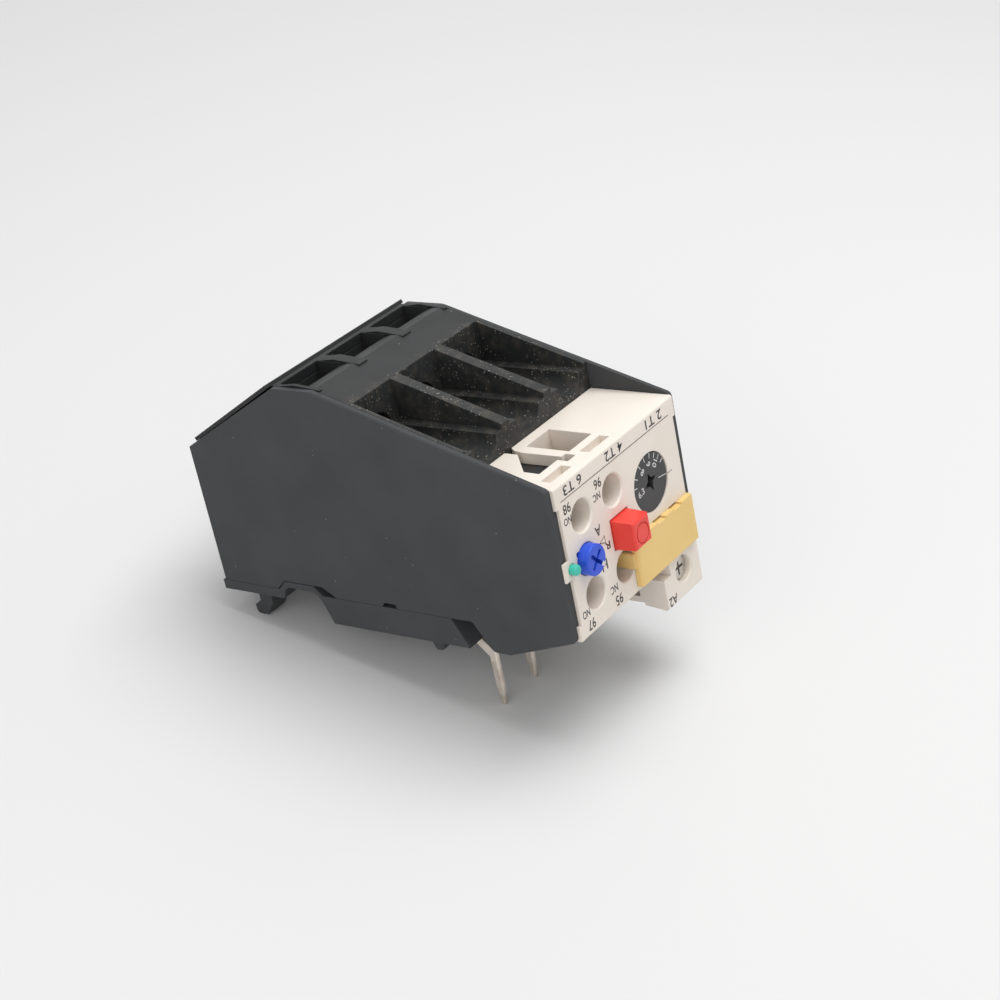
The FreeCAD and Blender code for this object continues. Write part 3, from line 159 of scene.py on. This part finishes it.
def edge_share(tree, rounded, reach):
    """How far the rounded normal leaves the flat one: 1 on an edge, 0 on a face."""
    flat = add(tree, "NewGeometry").outputs["Normal"]
    along = add(tree, "VectorMath", {0: rounded, 1: flat}, operation="DOT_PRODUCT")
    # the edge mask for a painted highlight with slight wear
    edge_highlight_and_wear_share = add(tree, "MapRange", {"Value": along.outputs["Value"], "From Min": 0.99,
                                  "From Max": 0.80, "To Min": 0.0, "To Max": reach})
    return edge_highlight_and_wear_share.outputs["Result"]


print("noise, blending and worn edges are ready")

# %% [markdown]
# Dust has settled in the screw pockets: a thin brown film in patches, and many pale specks. A few
# stray specks lie elsewhere on the case. Specks as meshes would be thousands of tiny shapes, so a
# Voronoi texture draws them, one to a cell.
# The pockets are found by their place, between the deck and the roof and inside the covers.

# %% dust and specks
POCKET_FRONT, POCKET_REAR, POCKET_HALF_WIDTH = 19.5, 44.6, 21.0


def times(tree, *factors):
    """The product of sockets and numbers."""
    product = factors[0]
    for factor in factors[1:]:
        product = add(tree, "Math", {0: product, 1: factor}, operation="MULTIPLY").outputs["Value"]
    return product


def within(tree, value, low, high, edge):
    """1 where a value lies between two limits, fading to 0 over an edge outside them."""
    rising = add(tree, "MapRange", {"Value": value, "From Min": low - edge, "From Max": low})
    falling = add(tree, "MapRange", {"Value": value, "From Min": high + edge, "From Max": high})
    return times(tree, rising.outputs["Result"], falling.outputs["Result"])


def specks(tree, place, spacing_mm, radius, low, high):
    """Round specks, one to a cell, with a radius in cells, kept only in patches of soft noise."""
    cells = add(tree, "TexVoronoi", {"Vector": place, "Scale": 1 / (spacing_mm * MM)})
    dots = add(tree, "MapRange", {"Value": cells.outputs["Distance"], "From Min": radius,
                                  "From Max": radius * 0.5})
    return times(tree, dots.outputs["Result"], clouded(tree, place, 4.0, low, high))


def pocket_share(tree, place):
    """1 in the screw pockets and 0 elsewhere."""
    across, back, _ = add(tree, "SeparateXYZ", {"Vector": place}).outputs
    near, far = at(0, POCKET_FRONT, 0).y, at(0, POCKET_REAR, 0).y
    half = POCKET_HALF_WIDTH * MM
    return times(tree, within(tree, back, near, far, 2 * MM),
                 within(tree, across, zero.x - half, zero.x + half, 0.2 * MM))


def pocket_dust(tree, place, surface):
    """A surface with a brown film and pale specks laid over it in the pockets."""
    pockets = pocket_share(tree, place)
    film = times(tree, pockets, clouded(tree, place, 2.2, 0.45, 0.8), 0.25)
    surface = blended(tree, film, surface, "#77705f")
    many = times(tree, pockets, specks(tree, place, 0.7, 0.23, 0.43, 0.58), 0.85)
    return blended(tree, many, surface, "#b3ada2")


def stray_specks(tree, place, surface, share):
    """A surface with a few pale specks scattered over it."""
    few = times(tree, specks(tree, place, 2.4, 0.07, 0.52, 0.6), share)
    return blended(tree, few, surface, "#b9b7b2")


print("pockets are dusty from", POCKET_FRONT, "to", POCKET_REAR, "mm behind the front face")

# %% [markdown]
# One function makes every moulded plastic on the relay, so all of them share the sizes of their
# clouds, grain and round edges, in millimetres. For each plastic, grain says how deep the grain
# looks, the edge colour and its reach how far the edges are painted paler as a painted highlight
# with slight wear, and shine how much the face mirrors.

# %% moulded plastic
CLOUD_SIZE, GRAIN_SIZE, ROUND_EDGE = 14.0, 0.35, 0.2


def moulded(name, colour, clouds, edge_highlight_and_wear, roughness, grain=0.5, edge_highlight_and_wear_reach=0.3, shine=0.5,
            dusty=False, specks_share=0.0):
    """Moulded plastic: cloudy colour, paler edges, fine grain, and dust if there is any."""
    material, tree = new_material(name)
    place = add(tree, "TexCoord").outputs["Object"]
    rounded = add(tree, "Bevel", {"Radius": ROUND_EDGE * MM}, samples=4).outputs["Normal"]
    surface = blended(tree, clouded(tree, place, CLOUD_SIZE, 0.3, 0.7), colour, clouds)
    # edges painted paler: a painted highlight along every edge, with slight wear
    surface = blended(tree, edge_share(tree, rounded, edge_highlight_and_wear_reach), surface, edge_highlight_and_wear)
    if dusty:
        surface = pocket_dust(tree, place, surface)
    if specks_share:
        surface = stray_specks(tree, place, surface, specks_share)
    skin = add(tree, "TexNoise", {"Vector": place, "Scale": 1 / (GRAIN_SIZE * MM), "Detail": 2.0})
    bump = add(tree, "Bump", {"Height": skin.outputs["Fac"], "Normal": rounded,
                              "Strength": grain, "Distance": 0.02 * MM})
    sheen = add(tree, "MapRange", {"Value": clouded(tree, place, 9.0, 0.25, 0.75),
                                   "To Min": roughness - 0.05, "To Max": roughness + 0.05})
    finish_material(tree, surface, {"Roughness": sheen.outputs["Result"], "IOR": 1.5,
                                    "Specular IOR Level": shine,
                                    "Normal": bump.outputs["Normal"]})
    return material


print("clouds, grain and round edges in mm:", CLOUD_SIZE, GRAIN_SIZE, ROUND_EDGE)

# %% [markdown]
# The case is black, the front is a warm white that has aged a little, and the controls are
# coloured through. Buttons are touched daily, so they are the smoothest; the case sees only dust.
# Each plastic has its colour, the colour of its clouds, the paler colour painted on its edges as a
# highlight with slight wear, and its roughness.

# %% the relay's plastics
SMOOTH = 0.25
finishes = {
    "black_plastic": moulded(
        "black_polyamide_moulded", "#262728", "#2b2c2d", "#565758", 0.5, shine=0.25),
    "dark_plastic": moulded(
        "black_polyamide_dusty", "#28292a", "#2d2e2f", "#5c5d5e", 0.5, shine=0.35,
        dusty=True, specks_share=0.7),
    "cream_plastic": moulded(
        "cream_polycarbonate_moulded", "#e8dfd5", "#e2d8cc", "#f2ebe3", 0.45, edge_highlight_and_wear_reach=0.4),
    "yellow_plastic": moulded(
        "sand_yellow_polyamide_moulded", "#e9c983", "#e4c179", "#f2dba6", 0.5),
    "red_plastic": moulded(
        "red_polycarbonate_moulded", "#e93f34", "#e3392e", "#ff8574", 0.36, grain=SMOOTH),
    "blue_plastic": moulded(
        "blue_polycarbonate_moulded", "#2350d2", "#1f48c4", "#5f80ea", 0.38, grain=SMOOTH),
    "green_plastic": moulded(
        "teal_polycarbonate_moulded", "#3fc2ac", "#38b7a2", "#86dccd", 0.38, grain=SMOOTH),
    "white_plastic": moulded(
        "natural_polyamide_moulded", "#dcd8cc", "#d2cdbf", "#eeeae0", 0.5),
}
print(len(finishes), "plastics")

# %% [markdown]
# ## Metals
# Stamped strip keeps the direction it was rolled in, as fine streaks, and screws are zinc plated
# and tumbled. Tin dulls to a warm grey with faint brown stains where it was handled.
# Streaks come from noise that is drawn out upwards, along the plug pins. Tumbled screws and coiled
# wire have even noise instead.

# %% stamped and plated metal
ALONG_PINS = (1.0, 1.0, 0.08)
EVEN = (1.0, 1.0, 1.0)


def plated(name, colour, stain, roughness, stretch=ALONG_PINS, stains=0.5):
    """Plated or rolled metal: streaks along one direction and cloudy stains."""
    material, tree = new_material(name)
    place = add(tree, "TexCoord").outputs["Object"]
    drawn = add(tree, "Mapping", {"Vector": place, "Scale": stretch}).outputs["Vector"]
    streaks = add(tree, "TexNoise", {"Vector": drawn, "Scale": 1 / (0.25 * MM), "Detail": 3.0})
    share = times(tree, clouded(tree, place, 3.0, 0.45, 0.75), stains)
    rounded = add(tree, "Bevel", {"Radius": 0.08 * MM}, samples=4).outputs["Normal"]
    bump = add(tree, "Bump", {"Height": streaks.outputs["Fac"], "Normal": rounded,
                              "Strength": 0.35, "Distance": 0.01 * MM})
    dull = add(tree, "MapRange", {"Value": streaks.outputs["Fac"], "To Min": roughness - 0.08,
                                  "To Max": roughness + 0.12})
    surface = blended(tree, share, colour, stain)
    finish_material(tree, surface, {"Metallic": 1.0, "Roughness": dull.outputs["Result"],
                                    "Normal": bump.outputs["Normal"]})
    return material


finishes.update({
    "tin_plated": plated("tin_plated_copper_strip", "#e6ddd2", "#a08a74", 0.48),
    "zinc_steel": plated("zinc_plated_steel_tumbled", "#d6d4cf", "#b3afa8", 0.38, EVEN, 0.4),
    "spring_steel": plated("spring_steel_wire_drawn", "#a9a9a8", "#8c8b88", 0.30, EVEN, 0.3),
    "bimetal": plated("bimetal_strip_rolled", "#a59c90", "#86735c", 0.38),
    "brass": plated("brass_strip_stamped", "#c8a35c", "#9c7a3e", 0.32),
})
print(len(finishes), "finishes so far")

# %% [markdown]
# The heaters are wound on mica sheet: flaky, greyish brown, with a weak silky gloss and no metal.
# The cells of a Voronoi texture stand for the flakes.

# %% mica
def layered_mica(name, colour, flakes):
    """Mica sheet: thin flakes seen as patches of two browns, with a silky gloss."""
    material, tree = new_material(name)
    place = add(tree, "TexCoord").outputs["Object"]
    plates = add(tree, "TexVoronoi", {"Vector": place, "Scale": 1 / (1.5 * MM)})
    share = add(tree, "SeparateColor", {"Color": plates.outputs["Color"]}).outputs["Red"]
    edges = add(tree, "Bump", {"Height": plates.outputs["Distance"],
                               "Strength": 0.3, "Distance": 0.02 * MM})
    surface = blended(tree, share, colour, flakes)
    finish_material(tree, surface, {"Roughness": 0.4, "IOR": 1.58,
                                    "Normal": edges.outputs["Normal"]})
    return material


finishes["heater_mica"] = layered_mica("mica_sheet_split", "#8f8574", "#a1967f")
print(len(finishes), "finishes with the mica")

# %% [markdown]
# ## Every solid gets its finish
# The record names a material slot for each solid, so the finishes are handed out from there and
# none is missed. Four pieces have finishes of their own. The dial shares a slot with the dusty
# housing, but it is handled and wiped clean. The covers and the base are painted a paler black
# than the other black pieces, a painted light that makes their long sides look lit.

# %% hand the finishes out
slot_of = {item["node"]: item["material_slot"] for item in frame["record"]["subparts"]}
clean_dial = moulded("dark_grey_polyamide_moulded", "#363638", "#3b3b3d", "#5a5a5c", 0.5)
# painted light: the covers and the base get a paler black than the other black pieces, so their
# sides look lit
case_painted_paler = moulded("black_polyamide_painted_paler", "#404142", "#464749", "#747577", 0.55,
                      shine=0.16, specks_share=0.4)
own_finish = {"setting_dial": clean_dial, "left_cover": case_painted_paler,
              "right_cover": case_painted_paler, "base": case_painted_paler}
for node_name, solid in frame["nodes"].items():
    finish = own_finish.get(node_name, finishes[slot_of[node_name]])
    for slot in solid.material_slots:
        slot.material = finish
used = {solid.data.materials[0].name for solid in frame["nodes"].values()}
print(len(frame["nodes"]), "nodes dressed in", len(used), "finishes")

# %% [markdown]
# ## Print on the front
# Terminal marks are pad printed: ink about 0.02 mm thick that sits on the plastic, drawn a little
# thicker. A picture could hold the print, but a mesh stays sharp from near and far.
# Each mark is text made into a mesh, a little bolder than its font, stretched to the size it has
# on the part, and laid on the wall, half sunk in it.
# The relay is read the other way up, with its pins on top, so the words stand on their heads here.
# All marks of one colour on one piece are gathered into one mesh.

# %% ink, and flat words as a mesh
INK = 0.03
UPSIDE_DOWN = 180


def ink(name, colour, edge):
    """Pad printing ink: matt, thinner and paler in places."""
    material, tree = new_material(name)
    place = add(tree, "TexCoord").outputs["Object"]
    thin = clouded(tree, place, 0.6, 0.45, 0.8)
    finish_material(tree, blended(tree, thin, colour, edge), {"Roughness": 0.6, "IOR": 1.48})
    return material


def word_mesh(words):
    """Words as a closed mesh one unit wide and high, lying in XY with its lower left at zero."""
    curve = bpy.data.curves.new("words", "FONT")
    curve.body = words
    curve.extrude = 0.5
    curve.offset = 0.012
    curve.resolution_u = 3
    holder = bpy.data.objects.new("words", curve)
    mesh = bpy.data.meshes.new_from_object(holder)
    work = bmesh.new()
    work.from_mesh(mesh)
    bpy.data.objects.remove(holder)
    bpy.data.meshes.remove(mesh)
    bmesh.ops.remove_doubles(work, verts=work.verts, dist=1e-5)
    lows = [min(v.co[axis] for v in work.verts) for axis in range(3)]
    highs = [max(v.co[axis] for v in work.verts) for axis in range(3)]
    spans = [high - low for low, high in zip(lows, highs)]
    bmesh.ops.translate(work, verts=work.verts, vec=[-low for low in lows])
    bmesh.ops.scale(work, verts=work.verts, vec=[1 / span for span in spans])
    return work


def stamp(target, source, matrix):
    """Moves a finished shape to its place and adds it to a gathered mesh."""
    bmesh.ops.transform(source, matrix=matrix, verts=source.verts)
    moved = bpy.data.meshes.new("moved")
    source.to_mesh(moved)
    source.free()
    target.from_mesh(moved)
    bpy.data.meshes.remove(moved)


def facing_front(centre, turn, wide, high):
    """The place of a flat mark on a face that looks forward: its middle, turn and size."""
    size = Matrix.Diagonal((wide * MM, high * MM, INK * MM, 1.0))
    stand = Matrix.Rotation(math.radians(90), 4, "X")
    lean = Matrix.Rotation(-math.radians(turn), 4, "Y")
    middle = Matrix.Translation((-0.5, -0.5, -0.5))
    return Matrix.Translation(centre) @ lean @ stand @ size @ middle


def words_on(target, words, left, right, low, high, y=0.0):
    """Prints words, upside down, into the box left to right and low to high."""
    centre = at((left + right) / 2, y, (low + high) / 2)
    place = facing_front(centre, UPSIDE_DOWN, right - left, high - low)
    stamp(target, word_mesh(words), place)


print("ink is", INK, "mm thick")

# %% [markdown]
# Lines, ticks and strokes are thin bars. A finished mesh of print becomes a piece that rides on the
# body of what it is printed on, so it moves with it.

# %% bars, and pieces that ride
def bar_on(target, x, z, length, thick, turn, y=0.0):
    """Prints a straight bar about a point."""
    bar = bmesh.new()
    bmesh.ops.create_cube(bar, size=1.0, matrix=Matrix.Translation((0.5, 0.5, 0.5)))
    stamp(target, bar, facing_front(at(x, y, z), turn, length, thick))


def piece_from(gathered, name, finish, body):
    """Turns a gathered mesh into a piece that rides on a body."""
    bmesh.ops.recalc_face_normals(gathered, faces=gathered.faces)
    mesh = bpy.data.meshes.new(name)
    gathered.to_mesh(mesh)
    gathered.free()
    mesh.materials.append(finish)
    piece = bpy.data.objects.new(name, mesh)
    bpy.context.collection.objects.link(piece)
    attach(piece, body)
    print(name, "has", len(mesh.polygons), "faces")


# %% [markdown]
# The load terminals' numbers stand above a thin line, and each auxiliary terminal has its number
# and its contact's kind beside its hole.

# %% terminal marks and the line under the pole numbers
black_ink = ink("black_pad_print", "#2a2a2c", "#5a5856")
front = bmesh.new()
for words, left, right in (("6 T3", -18.1, -12.0), ("4 T2", -3.8, 2.3), ("2 T1", 10.8, 16.7)):
    words_on(front, words, left, right, -2.8, -0.8)
bar_on(front, -0.3, -3.25, 38.2, 0.16, 0)
terminal_marks = (
    ("98", -19.2, -16.8, -6.2, -4.2), ("NO", -19.6, -17.2, -8.3, -6.8),
    ("96", -8.7, -6.3, -6.2, -4.2), ("NC", -9.7, -7.3, -8.3, -6.8),
    ("NO", -19.5, -17.1, -28.1, -26.5), ("97", -18.4, -16.0, -31.1, -29.0),
    ("NC", -9.6, -7.2, -28.1, -26.5), ("95", -8.6, -6.2, -31.1, -29.0),
)
for words, left, right, low, high in terminal_marks:
    words_on(front, words, left, right, low, high)
print(len(front.faces), "faces of print on the front so far")

# %% [markdown]
# Beside the reset knob stand the letters of its two settings, the letter for reset, and a small
# arrow head between them. The arrow head is three bars, so it stays an outline. The index line of
# the dial runs on past the dial's rim as a short black bar.

# %% the marks of the reset knob
words_on(front, "A", -11.0, -9.1, -15.0, -12.9)
words_on(front, "H", -10.9, -9.0, -22.4, -20.2)
words_on(front, "R", -8.7, -7.1, -19.0, -17.4)
corners = [(-10.2, -16.6), (-8.4, -15.8), (-8.4, -17.3)]
for first, second in zip(corners, corners[1:] + corners[:1]):
    across, up = second[0] - first[0], second[1] - first[1]
    length, turn = math.hypot(across, up) + 0.1, math.degrees(math.atan2(up, across))
    bar_on(front, (first[0] + second[0]) / 2, (first[1] + second[1]) / 2, length, 0.14, turn)
bar_on(front, 16.25, -14.2, 1.7, 0.14, 0)
piece_from(front, "front_print", black_ink, "case")

# %% [markdown]
# The coil terminal block stands a little behind the front wall, so its mark is laid on its own
# front face.

# %% the coil terminal's mark
coil_front = (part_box("coil_block")[0][1] - zero.y) / MM
coil_marks = bmesh.new()
words_on(coil_marks, "A2", 8.5, 11.5, -40.9, -38.9, y=coil_front)
piece_from(coil_marks, "coil_print", black_ink, "case")

# %% [markdown]
# ## The dial's scale
# The dial carries its numbers: each one runs from the rim towards the middle, so the number under
# the index line reads upright in use. Ticks stand at the rim, and a white line marks the present
# setting. Each of them has its own distance from the dial's middle. All of it rides on the dial,
# so it turns with it.

# %% the dial's numbers and ticks
NUMBERS_OUT, TICKS_OUT, LINE_OUT = 3.7, 5.25, 4.3
LINE_TURN = -9


def face_of(node_name):
    """The middle and the front of a node's box: x, z and y in millimetres from the zero."""
    low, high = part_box(node_name)
    middle_x = ((low[0] + high[0]) / 2 - zero.x) / MM
    middle_z = ((low[2] + high[2]) / 2 - zero.z) / MM
    return middle_x, middle_z, (low[1] - zero.y) / MM


white_ink = ink("white_pad_print", "#d6d6d4", "#a4a4a4")
dial_x, dial_z, dial_front = face_of("setting_dial")
scale = bmesh.new()


def on_dial(reach, angle):
    """A point on the dial at a distance from its middle, in degrees from its right side."""
    turned = math.radians(angle)
    return dial_x + reach * math.cos(turned), dial_z + reach * math.sin(turned)


for angle, words, wide in ((191, "6.3", 2.1), (125, "8", 0.9), (86, "9", 0.9), (50, "10", 1.5)):
    x, z = on_dial(NUMBERS_OUT, angle)
    centre = at(x, dial_front, z)
    stamp(scale, word_mesh(words), facing_front(centre, angle + 180, wide, 1.4))
for angle in (170, 150, 123, 101, 79, 61, 44, 28):
    x, z = on_dial(TICKS_OUT, angle)
    bar_on(scale, x, z, 1.1, 0.2, angle, dial_front)
x, z = on_dial(LINE_OUT, LINE_TURN)
bar_on(scale, x, z, 2.9, 0.16, LINE_TURN, dial_front)
piece_from(scale, "dial_print", white_ink, "dial")

# %% [markdown]
# The reset knob has one white stroke at its rim that points to the chosen letter. It rides on the
# knob, so it turns and goes in with it.

# %% the reset knob's stroke
knob_x, knob_z, knob_front = face_of("reset_knob")
stroke = bmesh.new()
bar_on(stroke, knob_x + 1.9, knob_z - 1.75, 1.1, 0.9, -45, knob_front)
piece_from(stroke, "reset_knob_mark", white_ink, "reset_knob")

# %% [markdown]
# ## Floor, light and camera
# The relay stands on its pins and its two hooks, so the floor touches the pin tips in front and
# the hooks behind. It is a pale sheet that is seen from above only, so that a view from below is
# not blocked.

# %% the floor
PIN_HALF_DEPTH, HOOK_MIDDLE = 0.95, 85.0
FLOOR_GAP, FLOOR_HALF = 0.1, 2000.0
pin_low, pin_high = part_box("plug_pin_2")
toe = Vector(((pin_low[0] + pin_high[0]) / 2, pin_low[1] + PIN_HALF_DEPTH * MM, pin_low[2]))
heel = Vector((toe.x, at(0, HOOK_MIDDLE, 0).y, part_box("base")[0][2]))
rise = math.atan2(heel.z - toe.z, heel.y - toe.y)
up = Vector((0.0, -math.sin(rise), math.cos(rise)))
lying = Matrix.Translation(toe - up * FLOOR_GAP * MM) @ Matrix.Rotation(rise, 4, "X")
sheet = bmesh.new()
bmesh.ops.create_grid(sheet, x_segments=1, y_segments=1, size=FLOOR_HALF * MM, matrix=lying)
floor_mesh = bpy.data.meshes.new("floor")
sheet.to_mesh(floor_mesh)
sheet.free()
floor = bpy.data.objects.new("floor", floor_mesh)
bpy.context.collection.objects.link(floor)
paper, paper_tree = new_material("white_paper_sweep")
matt = add(paper_tree, "BsdfDiffuse", {"Color": linear("#dbdbdb"), "Roughness": 0.0})
nothing = add(paper_tree, "BsdfTransparent")
behind = add(paper_tree, "NewGeometry").outputs["Backfacing"]
seen = add(paper_tree, "MixShader", {0: behind, 1: matt.outputs[0], 2: nothing.outputs[0]})
add(paper_tree, "OutputMaterial", {"Surface": seen.outputs[0]})
floor_mesh.materials.append(paper)
print("the floor rises", round(math.degrees(rise), 2), "degrees to the rear")

# %% [markdown]
# A large soft box hangs over the relay. A second one on its left lights the long side, and two
# weak ones stand to its front right and rear right: the first fills the front, and the second
# gives the roof its sheen.
# The world is a plain grey-white, so that every side gets some light and metal has something to
# mirror.

# %% lamps and world
middle = (Vector(bare_box[0]) + Vector(bare_box[1])) / 2


def soft_box(name, offset, size, power):
    """A square area lamp, in metres and watts, that looks at the middle of the relay."""
    lamp = bpy.data.lights.new(name, "AREA")
    lamp.size = size
    lamp.energy = power
    holder = bpy.data.objects.new(name, lamp)
    aimed = Vector(offset).to_track_quat("Z", "Y").to_matrix().to_4x4()
    holder.matrix_world = Matrix.Translation(middle + Vector(offset)) @ aimed
    bpy.context.collection.objects.link(holder)
    print(name, "gives", power, "W")


soft_box("overhead_box", (0.16, -0.27, 0.73), 0.6, 5.5)
soft_box("front_box", (0.45, -0.60, 0.30), 0.6, 0.1)
soft_box("left_box", (-0.70, -0.25, 0.20), 0.9, 2.7)
soft_box("rear_box", (0.70, 0.52, 0.42), 0.4, 0.55)
world = bpy.data.worlds.new("studio")
world.use_nodes = True
world.node_tree.nodes.clear()
sky = add(world.node_tree, "Background", {"Color": linear("#f4f4f4"), "Strength": 0.51})
add(world.node_tree, "OutputWorld", {"Surface": sky.outputs["Background"]})
bpy.context.scene.world = world

# %% [markdown]
# The camera looks down on the relay's left front corner through a lens of 76 mm, from about 40 cm.
# It is held a little askew, so its right-hand direction is given beside the way it looks.

# %% camera
EYE = (-292.624, -217.059, 159.231)
LENS = 76.03
camera = bpy.data.cameras.new("camera")
camera.sensor_width = 36.0
camera.lens = LENS
camera.clip_start = 0.01
forward = Vector((0.69439, 0.58729, -0.41582)).normalized()
side = Vector((0.56575, -0.80265, -0.18888))
across = (side - forward * side.dot(forward)).normalized()
above = across.cross(forward)
turned = Matrix((across, above, -forward)).transposed().to_4x4()
eye = bpy.data.objects.new("camera", camera)
eye.matrix_world = Matrix.Translation(at(*EYE)) @ turned
bpy.context.collection.objects.link(eye)
bpy.context.scene.camera = eye
bpy.context.scene.view_settings.view_transform = "Standard"
print("the camera's lens is", LENS, "mm")
